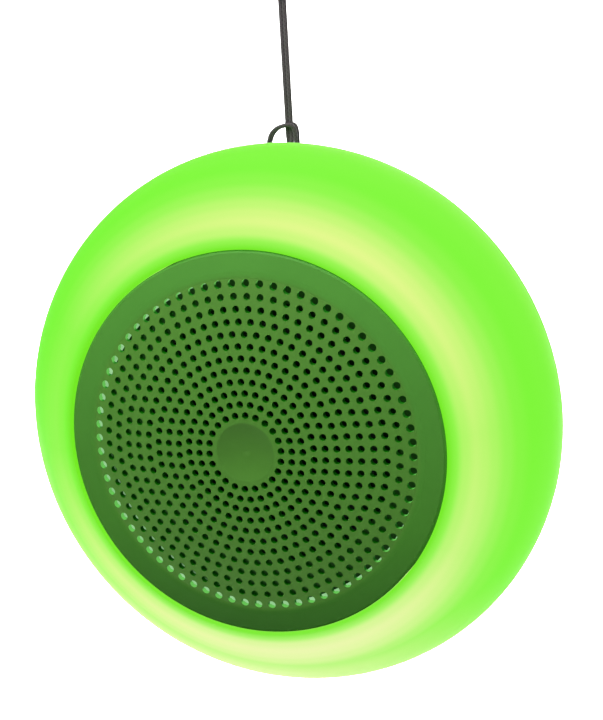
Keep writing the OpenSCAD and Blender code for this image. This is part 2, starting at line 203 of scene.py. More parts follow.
def softened(node_name, name, width):
    """A copy of a CAD node with its flat faces merged and its edges rounded."""
    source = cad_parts[node_name]
    piece = bpy.data.objects.new(name, source.data.copy())
    bpy.context.collection.objects.link(piece)
    clear_selection()
    piece.select_set(True)
    bpy.context.view_layer.objects.active = piece
    bpy.ops.object.mode_set(mode="EDIT")
    bpy.ops.mesh.select_all(action="SELECT")
    bpy.ops.mesh.remove_doubles(threshold=1e-6)
    bpy.ops.mesh.dissolve_limited(angle_limit=math.radians(0.5))
    bpy.ops.object.mode_set(mode="OBJECT")
    bevel = piece.modifiers.new("round", "BEVEL")
    bevel.width, bevel.segments = width, 2
    bevel.limit_method, bevel.angle_limit = "ANGLE", math.radians(30)
    bevel.use_clamp_overlap = True
    bpy.ops.object.modifier_apply(modifier="round")
    bpy.ops.mesh.customdata_custom_splitnormals_clear()
    bpy.ops.object.shade_smooth_by_angle(angle=math.radians(20))
    return piece


# ---------------------------------------------------------------- node helpers


def value_socket(group, name, default):
    socket = group.interface.new_socket(name=name, in_out="INPUT", socket_type="NodeSocketFloat")
    socket.default_value = default


def new_group(name, inputs, outputs):
    """A shader node group with float inputs and named outputs, and its input and output nodes."""
    group = bpy.data.node_groups.new(name, "ShaderNodeTree")
    for key, default in inputs.items():
        value_socket(group, key, default)
    for key, kind in outputs.items():
        group.interface.new_socket(name=key, in_out="OUTPUT", socket_type=kind)
    return group, group.nodes.new("NodeGroupInput"), group.nodes.new("NodeGroupOutput")


def node(tree, kind, inputs=None, **settings):
    """A node with its settings and its inputs, each a value or another node's output."""
    made = tree.nodes.new(kind)
    for key, value in settings.items():
        setattr(made, key, value)
    for key, value in (inputs or {}).items():
        if isinstance(value, bpy.types.NodeSocket):
            tree.links.new(value, made.inputs[key])
        else:
            made.inputs[key].default_value = value
    return made


def noise(tree, at, scale, detail):
    made = node(tree, "ShaderNodeTexNoise", {"Vector": at, "Scale": scale, "Detail": detail})
    return made.outputs[0]


def maths(tree, operation, *values, clamp=False):
    return node(
        tree, "ShaderNodeMath", dict(enumerate(values)), operation=operation, use_clamp=clamp
    ).outputs[0]


def mix(tree, factor, a, b, blend="MIX"):
    made = node(tree, "ShaderNodeMix", data_type="RGBA", blend_type=blend)
    for key, value in ((0, factor), (6, a), (7, b)):
        if isinstance(value, bpy.types.NodeSocket):
            tree.links.new(value, made.inputs[key])
        else:
            made.inputs[key].default_value = value
    return made.outputs[2]


def ramp(tree, factor, stops, interpolation="EASE"):
    made = node(tree, "ShaderNodeValToRGB", {0: factor})
    made.color_ramp.interpolation = interpolation
    elements = made.color_ramp.elements
    while len(elements) < len(stops):
        elements.new(0.5)
    for element, (position, colour) in zip(elements, stops):
        element.position = position
        element.color = (*colour, 1) if len(colour) == 3 else colour
    return made.outputs[0]


def moulded_grain_group():
    """Fine spark-eroded grain of moulded plastic, with faint cloudy shade and a little dust."""
    group, given, out = new_group(
        "Moulded grain",
        {"Grain size": 2500.0, "Grain depth": 1.0, "Shade": 0.08, "Roughness": 0.45, "Dust": 0.0},
        {"Shade": "NodeSocketFloat", "Roughness": "NodeSocketFloat", "Height": "NodeSocketFloat",
         "Dust": "NodeSocketFloat"},
    )
    tree, at = group, node(group, "ShaderNodeTexCoord").outputs["Object"]
    fine = noise(tree, at, given.outputs["Grain size"], 2.0)
    cloud = noise(tree, at, 45.0, 3.0)
    specks = noise(tree, at, 1600.0, 3.0)
    swing = maths(tree, "MULTIPLY", maths(tree, "SUBTRACT", cloud, 0.5), given.outputs["Shade"])
    links = {
        "Shade": maths(tree, "ADD", 1.0, maths(tree, "MULTIPLY", swing, 2.0)),
        "Roughness": maths(tree, "ADD", given.outputs["Roughness"],
                           maths(tree, "MULTIPLY", maths(tree, "SUBTRACT", cloud, 0.5), 0.25)),
        "Height": maths(tree, "MULTIPLY", fine, given.outputs["Grain depth"]),
        "Dust": maths(tree, "MULTIPLY", given.outputs["Dust"],
                      maths(tree, "SMOOTH_MIN", maths(tree, "MULTIPLY", maths(
                          tree, "SUBTRACT", specks, 0.60, clamp=True), 2.0), 1.0, 0.1)),
    }
    for key, value in links.items():
        tree.links.new(value, out.inputs[key])
    return group


def brushed_group():
    """Fine drawn lines and faint blotches on a plated metal."""
    group, given, out = new_group(
        "Drawn metal", {"Lines": 3000.0, "Roughness": 0.3},
        {"Roughness": "NodeSocketFloat", "Height": "NodeSocketFloat", "Shade": "NodeSocketFloat"},
    )
    at = node(group, "ShaderNodeTexCoord").outputs["Object"]
    stretch = node(group, "ShaderNodeMapping", {"Vector": at, "Scale": (1.0, 0.05, 1.0)})
    lines = noise(group, stretch.outputs[0], given.outputs["Lines"], 2.0)
    blotch = noise(group, at, 260.0, 3.0)
    group.links.new(maths(group, "ADD", given.outputs["Roughness"],
                          maths(group, "MULTIPLY", maths(group, "SUBTRACT", blotch, 0.5), 0.3)),
                    out.inputs["Roughness"])
    group.links.new(lines, out.inputs["Height"])
    group.links.new(maths(group, "ADD", 0.85, maths(group, "MULTIPLY", blotch, 0.3)),
                    out.inputs["Shade"])
    return group


GROUPS = {}


def group_named(name, build):
    if name not in GROUPS:
        GROUPS[name] = build()
    return GROUPS[name]


def new_material(name, **constants):
    """A material with a Principled BSDF whose plain sockets are set, and its tree and shader."""
    material = bpy.data.materials.new(name)
    material.use_nodes = True
    tree = material.node_tree
    shader = tree.nodes["Principled BSDF"]
    for key, value in constants.items():
        shader.inputs[key.replace("_", " ")].default_value = value
    return material, tree, shader


def plastic(name, colour, roughness=0.45, grain=2500.0, depth=0.15, shade=0.08, dust=0.0,
            **constants):
    """Moulded plastic or rubber: its colour clouded a little, with a fine grain in the surface."""
    material, tree, shader = new_material(name, **constants)
    group = group_named("grain", moulded_grain_group)
    grain_node = node(tree, "ShaderNodeGroup", node_tree=group)
    for key, value in (("Grain size", grain), ("Grain depth", 1.0), ("Shade", shade),
                       ("Roughness", roughness), ("Dust", dust)):
        grain_node.inputs[key].default_value = value
    tint = mix(tree, 1.0, (*colour, 1), grain_node.outputs["Shade"], blend="MULTIPLY")
    dusty = mix(tree, grain_node.outputs["Dust"], tint, (0.55, 0.56, 0.5, 1))
    bump = node(tree, "ShaderNodeBump", {"Height": grain_node.outputs["Height"],
                                         "Strength": depth, "Distance": 0.00005})
    tree.links.new(dusty, shader.inputs["Base Color"])
    tree.links.new(grain_node.outputs["Roughness"], shader.inputs["Roughness"])
    tree.links.new(bump.outputs[0], shader.inputs["Normal"])
    return material


def metal(name, colour, roughness=0.3, lines=3000.0):
    """Plated or drawn metal."""
    material, tree, shader = new_material(name, Metallic=1.0)
    group = node(tree, "ShaderNodeGroup", node_tree=group_named("drawn", brushed_group))
    group.inputs["Lines"].default_value = lines
    group.inputs["Roughness"].default_value = roughness
    tree.links.new(mix(tree, 1.0, (*colour, 1), group.outputs["Shade"], blend="MULTIPLY"),
                   shader.inputs["Base Color"])
    tree.links.new(group.outputs["Roughness"], shader.inputs["Roughness"])
    bump = node(tree, "ShaderNodeBump", {"Height": group.outputs["Height"], "Strength": 0.1,
                                         "Distance": 0.00003})
    tree.links.new(bump.outputs[0], shader.inputs["Normal"])
    return material


def paint(material, *names):
    """Gives CAD nodes a material."""
    for name in names:
        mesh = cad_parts[name].data
        mesh.materials.clear()
        mesh.materials.append(material)


# ---------------------------------------------------------------- camera and lanyard


class SPEAKER_OT_camera(bpy.types.Operator):
    """Sets the camera in front of the speaker, a little to its right and above it"""

    bl_idname = "speaker.camera"
    bl_label = "Camera"

    azimuth, elevation, roll = 19.29, 13.0, -3.32
    towards = (139.85, -362.87, 109.02)  # from the middle of the grille's rim to the camera

    def execute(self, context):
        settings = context.scene.speaker_stage
        data = bpy.data.cameras.new("view")
        data.lens = settings.lens
        data.clip_start, data.clip_end = 0.01, 20
        camera = bpy.data.objects.new("view", data)
        context.collection.objects.link(camera)
        turn = (
            Matrix.Rotation(math.radians(self.azimuth), 4, "Z")
            @ Matrix.Rotation(math.radians(90 - self.elevation), 4, "X")
            @ Matrix.Rotation(math.radians(self.roll), 4, "Z")
        )
        aside = Vector(self.towards).normalized()
        camera.matrix_world = Matrix.Translation(CENTRE + aside * settings.distance) @ turn
        context.scene.camera = camera
        return {"FINISHED"}


# The cord's route, one strand: up round the eye, down, round the bar, round both standing
# strands, round the bar again and back up. Millimetres, in the row frame.
CORD_ROUTE = [
    (-0.5, 0, -17.2), (-0.5, 0, -15), (-1.1, 0, -12.5), (-3, 0, -8.5), (-4, 0, -4.5),
    (-3.2, 0, -1.3), (0, 0, 0.5), (3.2, 0, -1.3), (4, 0, -4.5), (3, 0, -8.5), (1.1, 0, -12.5),
    (0.5, 0, -15), (0.5, 0, -18), (0.5, 0, -34), (0.5, 0, -49), (0.5, 0, -53),
    (0.3, -0.4, -56.5), (0, -0.6, -60), (-0.8, -0.6, -62.2), (-2.6, -0.6, -63.1),
    (-4.5, -0.6, -62.2), (-5.3, -0.6, -60.3), (-5.4, -0.6, -57), (-5.2, -0.6, -54.5),
    (-4.3, -0.8, -52.4), (-2.7, -1, -51.1), (-1, -1.1, -50.6), (0.4, -1.15, -50.4),
    (1.3, -1, -51), (1.65, -0.8, -52.4), (1.7, -0.7, -54), (1.7, -0.65, -55.3), (1.7, 0, -56.1),
    (1.7, 0.65, -55.3), (1.7, 0.7, -54), (1.65, 0.8, -52.4), (1.3, 1, -51), (0.4, 1.15, -50.4),
    (-1, 1.1, -50.6), (-2.7, 1, -51.1), (-4.3, 0.8, -52.4), (-5.2, 0.6, -54.5), (-5.4, 0.6, -57),
    (-5.3, 0.6, -60.3), (-4.5, 0.6, -62.2), (-2.6, 0.6, -63.1), (-0.8, 0.6, -62.2), (0, 0.6, -60),
    (-0.3, 0.4, -56.5), (-0.5, 0, -53), (-0.5, 0, -49), (-0.5, 0, -34), (-0.5, 0, -18),
]
YARNS_ROUND = 4.0  # yarns that cross in one turn round the strand
YARNS_ALONG = 3.2  # and in a length equal to its girth


def smooth_route(points, steps):
    """A smooth curve through the points, with the given steps between two of them."""
    last = len(points) - 1
    out = []
    for i in range(last):
        a, b, c, d = (points[max(0, min(last, k))] for k in (i - 1, i, i + 1, i + 2))
        for s in range(steps):
            t = s / steps
            out.append(0.5 * (2 * b + (c - a) * t + (2 * a - 5 * b + 4 * c - d) * t**2
                              + (3 * b - a - 3 * c + d) * t**3))
    return out + [points[last]]


def braided_tube(name, points, diameter, sides=14):
    """A tube round the points, with its length and its turn round the middle as a UV map."""
    mesh = bpy.data.meshes.new(name)
    vertices, faces, uvs = [], [], []
    side, travelled = Vector((0, 1, 0)), 0.0
    lengths = []
    for i, point in enumerate(points):
        ahead = (points[min(i + 1, len(points) - 1)] - points[max(i - 1, 0)]).normalized()
        side = (side - ahead * side.dot(ahead)).normalized()
        other = ahead.cross(side)
        travelled += (point - points[i - 1]).length if i else 0.0
        lengths.append(travelled)
        for k in range(sides):
            angle = 2 * math.pi * k / sides
            outwards = side * math.cos(angle) + other * math.sin(angle)
            vertices.append(point + diameter / 2 * outwards)
    for i in range(len(points) - 1):
        for k in range(sides):
            following = (k + 1) % sides
            faces.append((i * sides + k, i * sides + following,
                          (i + 1) * sides + following, (i + 1) * sides + k))
            uvs += [(k / sides, lengths[i]), ((k + 1) / sides, lengths[i]),
                    ((k + 1) / sides, lengths[i + 1]), (k / sides, lengths[i + 1])]
    for start, step in ((0, -1), ((len(points) - 1) * sides, 1)):
        faces.append(tuple(start + k for k in range(sides))[::step])
        uvs += [(0, lengths[0])] * sides
    mesh.from_pydata(vertices, [], faces)
    layer = mesh.uv_layers.new(name="UVMap")
    for loop, (u, v) in enumerate(uvs):
        layer.data[loop].uv = (u, v / (math.pi * diameter))
    piece = bpy.data.objects.new(name, mesh)
    bpy.context.collection.objects.link(piece)
    return piece


def cord_material(colour):
    """Braided polyester: two sets of yarns crossing round the strand."""
    material, tree, shader = new_material("braided_cord", Roughness=0.75, Sheen_Weight=0.35,
                                          Sheen_Roughness=0.5)
    uv = node(tree, "ShaderNodeUVMap", uv_map="UVMap").outputs[0]
    parts = node(tree, "ShaderNodeSeparateXYZ", {0: uv})
    turn = maths(tree, "MULTIPLY", parts.outputs[0], YARNS_ROUND)
    length = maths(tree, "MULTIPLY", parts.outputs[1], YARNS_ALONG)
    waves = [
        maths(tree, "ABSOLUTE", maths(tree, "SINE", maths(tree, "MULTIPLY", maths(
            tree, operation, turn, length), math.pi)))
        for operation in ("ADD", "SUBTRACT")
    ]
    yarns = maths(tree, "MAXIMUM", *waves)
    at = node(tree, "ShaderNodeTexCoord").outputs["Object"]
    fuzz = noise(tree, at, 3500.0, 3.0)
    shade = maths(tree, "MULTIPLY", maths(tree, "ADD", 0.35, yarns), maths(tree, "ADD", 0.55, fuzz))
    tree.links.new(mix(tree, 1.0, (*colour, 1), shade, blend="MULTIPLY"),
                   shader.inputs["Base Color"])
    bump = node(tree, "ShaderNodeBump", {
        "Height": maths(tree, "ADD", yarns, maths(tree, "MULTIPLY", fuzz, 0.4)),
        "Strength": 0.8, "Distance": 0.0001})
    tree.links.new(bump.outputs[0], shader.inputs["Normal"])
    return material


class SPEAKER_OT_lanyard(bpy.types.Operator):
    """Lays the braided cord along its route and rounds its crimp sleeve"""

    bl_idname = "speaker.lanyard"
    bl_label = "Lanyard"

    def execute(self, context):
        settings = context.scene.speaker_lanyard
        points = smooth_route([Vector(p) * MM for p in CORD_ROUTE], 8)
        cord = braided_tube("lanyard_strand", points, settings.strand)
        cord.data.materials.append(cord_material(settings.colour))
        clear_selection()
        cord.select_set(True)
        context.view_layer.objects.active = cord
        bpy.ops.object.shade_smooth_by_angle(angle=math.radians(60))
        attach(cord, "case")
        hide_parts("lanyard_cord")
        sleeve = softened("lanyard_crimp", "crimp_sleeve", 0.25 * MM)
        finish_piece(sleeve, "crimp_sleeve",
                     plastic("crimp_plastic", (0.02, 0.02, 0.02), roughness=0.35, grain=1800.0),
                     "case", "crimp_black", "lanyard_crimp")
        return {"FINISHED"}


# ---------------------------------------------------------------- shell


def glow_material(settings):
    """Frosted plastic lit from inside, its glow painted as emission by place: brightest over the
    ring of lamps, deeper at its edges, hottest underneath and dimmer towards the back.
    """
    material, tree, shader = new_material(
        "frosted_glow", IOR=1.46, Specular_IOR_Level=0.05, Sheen_Weight=0.04, Sheen_Roughness=0.3,
        Sheen_Tint=(0.75, 1.0, 0.55, 1))
    at = node(tree, "ShaderNodeTexCoord").outputs["Object"]
    local = node(tree, "ShaderNodeMapping", {"Vector": at, "Location": -CENTRE}).outputs[0]
    part = node(tree, "ShaderNodeSeparateXYZ", {0: local})
    flat = node(tree, "ShaderNodeCombineXYZ", {0: part.outputs[0], 2: part.outputs[2]}).outputs[0]
    radius = node(tree, "ShaderNodeVectorMath", {0: flat}, operation="LENGTH").outputs["Value"]
    # 0 at the grille, 0.5 at the widest plane, 1 at the back, by the turn round the oval section
    across = maths(tree, "DIVIDE", radius, BODY_R)
    back = maths(tree, "DIVIDE", maths(tree, "SUBTRACT", part.outputs[1], WIDEST_DEPTH), HALF_DEPTH)
    turn = maths(tree, "DIVIDE", maths(tree, "ARCTAN2", back, across), math.radians(100))
    place_on = maths(tree, "ADD", turn, 0.5)
    lamp = ramp(tree, place_on, [
        (0.03, (0.05,) * 3), (0.055, (0.25,) * 3), (0.08, (0.72,) * 3), (0.11, (0.97,) * 3),
        (0.135, (0.84,) * 3), (0.16, (0.64,) * 3), (0.20, (0.34,) * 3), (0.24, (0.15,) * 3),
        (0.30, (0.06,) * 3), (0.38, (0.08,) * 3), (0.5, (0.16,) * 3), (0.62, (0.08,) * 3)])
    unit = node(tree, "ShaderNodeVectorMath", {0: flat}, operation="NORMALIZE").outputs[0]

    def facing(angle):
        """How far a place lies towards an angle round the body's axis, from -1 to 1."""
        aim = (math.cos(math.radians(angle)), 0, math.sin(math.radians(angle)))
        return node(tree, "ShaderNodeVectorMath", {0: unit, 1: aim},
                    operation="DOT_PRODUCT").outputs["Value"]

    # Painted light: the glow is stronger towards the upper right and the bottom, with faint cloudy
    # patches, and spreads wider at the bottom.
    lobes = [
        maths(tree, "MULTIPLY", maths(tree, "MAXIMUM", facing(angle), 0.0), share)
        for angle, share in ((62, 0.80), (-86, 0.88))
    ]
    cloud = noise(tree, at, 22.0, 1.0)
    evenness = maths(tree, "ADD", maths(tree, "ADD", 0.18, maths(tree, "ADD", *lobes)),
                     maths(tree, "MULTIPLY", maths(tree, "SUBTRACT", cloud, 0.5), 0.12))
    low = maths(tree, "MAXIMUM", facing(-108), 0.0)
    spread = ramp(tree, place_on, [(0.06, (0,) * 3), (0.18, (0.45,) * 3), (0.26, (0.72,) * 3),
                                   (0.45, (0.70,) * 3), (0.6, (0.2,) * 3)])
    lit = maths(tree, "MAXIMUM", maths(tree, "MULTIPLY", lamp, evenness, clamp=True),
                maths(tree, "MULTIPLY", maths(tree, "MULTIPLY", low, low), spread))
    near_edge = ramp(tree, place_on, [(0.02, (1,) * 3), (0.07, (0,) * 3)])
    colour = mix(tree, lit, (*settings.deep, 1), (*settings.bright, 1))
    # Painted hotspot: the glow turns whiter underneath, where it is strongest.
    under = maths(tree, "MAXIMUM", facing(-80), 0.0)
    hottest = maths(tree, "MULTIPLY", maths(tree, "MULTIPLY", under, under), lit)
    colour = mix(tree, maths(tree, "MULTIPLY", hottest, 0.6), colour, (0.92, 1.0, 0.56, 1))
    colour = mix(tree, maths(tree, "MULTIPLY", near_edge, 0.95), colour, (*settings.edge, 1))
    # Painted dimming: towards the back the glow goes to half the deep colour.
    rear_fade = ramp(tree, place_on, [(0.62, (0,) * 3), (0.82, (1,) * 3)])
    colour = mix(tree, rear_fade, colour, (*(0.5 * c for c in settings.deep), 1))
    tree.links.new(colour, shader.inputs["Emission Color"])
    shader.inputs["Emission Strength"].default_value = settings.strength
    grain = node(tree, "ShaderNodeGroup", node_tree=group_named("grain", moulded_grain_group))
    grain.inputs["Grain size"].default_value = 1800.0
    grain.inputs["Roughness"].default_value = 0.6
    resin = (0.006, 0.03, 0.002, 1)
    tree.links.new(mix(tree, 1.0, resin, grain.outputs["Shade"], blend="MULTIPLY"),
                   shader.inputs["Base Color"])
    tree.links.new(grain.outputs["Roughness"], shader.inputs["Roughness"])
    bump = node(tree, "ShaderNodeBump", {"Height": grain.outputs["Height"], "Strength": 0.05,
                                         "Distance": 0.00004})
    tree.links.new(bump.outputs[0], shader.inputs["Normal"])
    return material


SHELL_GAP = 0.15 * MM  # between the grille and the shell's neck
NECK_WALL = 1.8 * MM
NECK_DEPTH = 6 * MM  # how far the neck reaches in behind the rim


class SPEAKER_OT_shell(bpy.types.Operator):
    """Turns the frosted shell with its rolled front lip and its rear joint"""

    bl_idname = "speaker.shell"
    bl_label = "Glow shell"

    def execute(self, context):
        settings = context.scene.speaker_shell
        low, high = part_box("glow_shell")
        half = (high.x - low.x) / 2
        neck = GRILLE_R + SHELL_GAP
        seam = high.y - RIM_Y
        front = -math.degrees(math.acos((neck + 0.5 * MM) / half))
        rear = math.degrees(math.asin((seam - 0.25 * MM - WIDEST_DEPTH) / HALF_DEPTH))
        outer = oval_points(half, HALF_DEPTH, front, rear, 44)
        lip = outer[0][1]
        inner_front = -math.degrees(math.acos((neck + NECK_WALL) / (half - settings.wall)))
        inner_rear = math.degrees(math.asin((seam - WIDEST_DEPTH) / (HALF_DEPTH - settings.wall)))
        inner = oval_points(half - settings.wall, HALF_DEPTH - settings.wall,
                            inner_rear, inner_front, 24)
        seam_r = outer[-1][0]
        profile = (
            outer
            + [(seam_r - 0.12 * MM, seam - 0.06 * MM), (seam_r - 0.4 * MM, seam)]
            + inner
            + [(neck + NECK_WALL, NECK_DEPTH), (neck, NECK_DEPTH), (neck, lip + 0.5 * MM),
               (neck + 0.12 * MM, lip + 0.15 * MM)]
        )
        finish_piece(lathe(profile, 256), "frosted_shell", glow_material(settings),
                     "case", "frosted_shell", "glow_shell")
        return {"FINISHED"}


# ---------------------------------------------------------------- controls on the back

MARK_THICK = 0.3 * MM  # printed marks sink into the dished caps and stand a hair proud
DISH = 0.35 * MM  # depth of the dished top of a button
CAP_FLANGE = 0.9 * MM  # how far a cap's hidden flange reaches past its visible edge


def turned_cap(profile, centre, segments=72):
    """A closed turned piece from (radius, depth) points that start and end near the middle."""
    clear_selection()
    radius, depth = profile[0]
    bpy.ops.mesh.primitive_circle_add(
        vertices=segments, radius=radius, fill_type="NGON", location=(0, 0, depth)
    )
    piece = bpy.context.object
    bpy.ops.object.transform_apply(location=True)
    bpy.ops.object.mode_set(mode="EDIT")
    bpy.ops.mesh.select_mode(type="EDGE")
    bpy.ops.mesh.select_all(action="SELECT")
    for next_radius, next_depth in profile[1:]:
        bpy.ops.mesh.extrude_edges_move(
            TRANSFORM_OT_translate={"value": (0, 0, next_depth - depth)}
        )
        grow = next_radius / radius
        bpy.ops.transform.resize(value=(grow, grow, 1), center_override=(0, 0, 0))
        radius, depth = next_radius, next_depth
    bpy.ops.mesh.edge_face_add()
    bpy.ops.mesh.select_all(action="SELECT")
    bpy.ops.mesh.normals_make_consistent(inside=False)
    bpy.ops.object.mode_set(mode="OBJECT")
    piece.rotation_euler = (math.radians(-90), 0, 0)
    piece.location = centre
    return piece


def arc(radius, start, stop, steps):
    """Points round the origin between two angles in degrees, in millimetres."""
    return [
        (radius * math.cos(math.radians(start + (stop - start) * i / steps)),
         radius * math.sin(math.radians(start + (stop - start) * i / steps)))
        for i in range(steps + 1)
    ]


def bar(width, height, x=0.0, y=0.0, turn=0.0):
    """Corners of a bar about a place, turned by an angle in degrees, in millimetres."""
    c, s = math.cos(math.radians(turn)), math.sin(math.radians(turn))
    return [
        (x + c * u - s * v, y + s * u + c * v)
        for u, v in ((-width / 2, -height / 2), (width / 2, -height / 2),
                     (width / 2, height / 2), (-width / 2, height / 2))
    ]


# Outlines of the generic marks as one sees them from behind, x to the right and y up, millimetres
MARKS = {
    "power": [arc(1.75, 125, 415, 28) + arc(1.3, 415, 125, 28), bar(0.45, 1.7, 0, 1.2)],
    "play": [[(-2.6, -1.7), (0.2, 0), (-2.6, 1.7)], bar(0.7, 3.2, 1.2), bar(0.7, 3.2, 2.5)],
    "minus": [bar(3.2, 0.7)],
    "plus": [[(-1.6, -0.35), (-0.35, -0.35), (-0.35, -1.6), (0.35, -1.6), (0.35, -0.35),
              (1.6, -0.35), (1.6, 0.35), (0.35, 0.35), (0.35, 1.6), (-0.35, 1.6), (-0.35, 0.35),
              (-1.6, 0.35)]],
    "light": [arc(0.85, 0, 345, 23)] + [
        bar(0.7, 0.32, 1.6 * math.cos(math.radians(a)), 1.6 * math.sin(math.radians(a)), a)
        for a in range(0, 360, 45)
    ],
}


def printed_mark(name, outlines, centre):
    """Thin raised print on a face that looks backwards, made from closed flat outlines."""
    curve = bpy.data.curves.new(name, "CURVE")
    curve.dimensions, curve.fill_mode = "2D", "BOTH"
    curve.extrude, curve.bevel_depth, curve.bevel_resolution = MARK_THICK / 2, 0.03 * MM, 1
    for outline in outlines:
        spline = curve.splines.new("POLY")
        spline.points.add(len(outline) - 1)
        for point, (x, y) in zip(spline.points, outline):
            point.co = (x * MM, y * MM, 0, 1)
        spline.use_cyclic_u = True
    flat = bpy.data.objects.new(name, curve)
    bpy.context.collection.objects.link(flat)
    clear_selection()
    flat.select_set(True)
    bpy.context.view_layer.objects.active = flat
    bpy.ops.object.convert(target="MESH")
    piece = bpy.context.object
    # local x to the left and local y up, so that the mark reads from behind
    piece.matrix_world = Matrix.Translation(centre) @ Matrix(
        ((-1, 0, 0, 0), (0, 0, 1, 0), (0, 1, 0, 0), (0, 0, 0, 1)))
    return piece


class SPEAKER_OT_buttons(bpy.types.Operator):
    """Models the five dished button caps with their printed marks"""

    bl_idname = "speaker.buttons"
    bl_label = "Buttons"

    def execute(self, context):
        cap_finish = plastic("button_plastic", context.scene.speaker_plastic.button, roughness=0.42,
                             grain=2400.0, depth=0.15, shade=0.1, dust=0.03)
        print_finish = plastic("mark_print", (0.62, 0.66, 0.60), roughness=0.5, grain=1800.0)
        for key, outlines in MARKS.items():
            low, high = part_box(key + "_button")
            radius = (high.x - low.x) / 2 - CAP_FLANGE
            bottom, top = low.y, high.y
            centre = Vector(((low.x + high.x) / 2, 0, (low.z + high.z) / 2))
            round_r = (radius**2 + DISH**2) / (2 * DISH)
            crown = [
                (r, top - DISH + round_r - math.sqrt(round_r**2 - r**2))
                for r in ((radius - 0.45 * MM) * i / 7 for i in range(1, 8))
            ]
            edge = crown[-1][1]
            profile = crown + [
                (radius - 0.25 * MM, edge + 0.02 * MM), (radius - 0.08 * MM, edge - 0.1 * MM),
                (radius, edge - 0.32 * MM), (radius, bottom + 0.75 * MM),
                (radius + CAP_FLANGE - 0.1 * MM, bottom + 0.7 * MM),
                (radius + CAP_FLANGE, bottom + 0.6 * MM), (radius + CAP_FLANGE, bottom),
                (0.5 * MM, bottom),
            ]
            finish_piece(turned_cap(profile, centre), key + "_cap", cap_finish, key + "_key",
                         "button_plastic", key + "_button")
            seat = centre + Vector((0, top - DISH - MARK_THICK / 2 + 0.09 * MM, 0))
            finish_piece(printed_mark(key + "_mark", outlines, seat), key + "_mark", print_finish,
                         key + "_key", "white_plastic")
        return {"FINISHED"}


class SPEAKER_OT_rear(bpy.types.Operator):
    """Rounds the edges of the control panel, the port cover and the foot ring"""

    bl_idname = "speaker.rear"
    bl_label = "Rear pieces"

    def execute(self, context):
        rubber = plastic("cover_rubber", (0.016, 0.018, 0.016), roughness=0.62, grain=1400.0,
                         depth=0.3, shade=0.2, dust=0.1)
        finish_piece(softened("port_cover", "port_flap", 0.18 * MM), "port_flap", rubber, "cover",
                     "seal_rubber", "port_cover")
        finish_piece(softened("foot_ring", "rubber_foot", 0.15 * MM), "rubber_foot",
                     plastic("foot_rubber", (0.014, 0.014, 0.014), roughness=0.72, grain=1200.0,
                             depth=0.4, shade=0.2, dust=0.15),
                     "case", "seal_rubber", "foot_ring")
        finish_piece(softened("control_panel", "panel_plate", 0.12 * MM), "panel_plate",
                     plastic("panel_gloss", (0.008, 0.020, 0.007), roughness=0.3, grain=1500.0,
                             depth=0.05, shade=0.1, dust=0.03, Specular_IOR_Level=0.16,
                             Coat_Weight=0.04, Coat_Roughness=0.12),
                     "case", "panel_gloss", "control_panel")
        return {"FINISHED"}


# ---------------------------------------------------------------- finishes of the CAD nodes


DISH_R = 6.4 * MM  # of the plain dish in the middle of the grille
RIM_START_R = 38 * MM  # from here outwards the dome's painted shading gives way to the rim's
OUTER_RING_R = 36.2 * MM  # only the outermost ring of holes lies beyond this
GUIDE_LIT_DEPTH = 8.4 * MM  # the light guide's painted glow fades to dark behind this depth
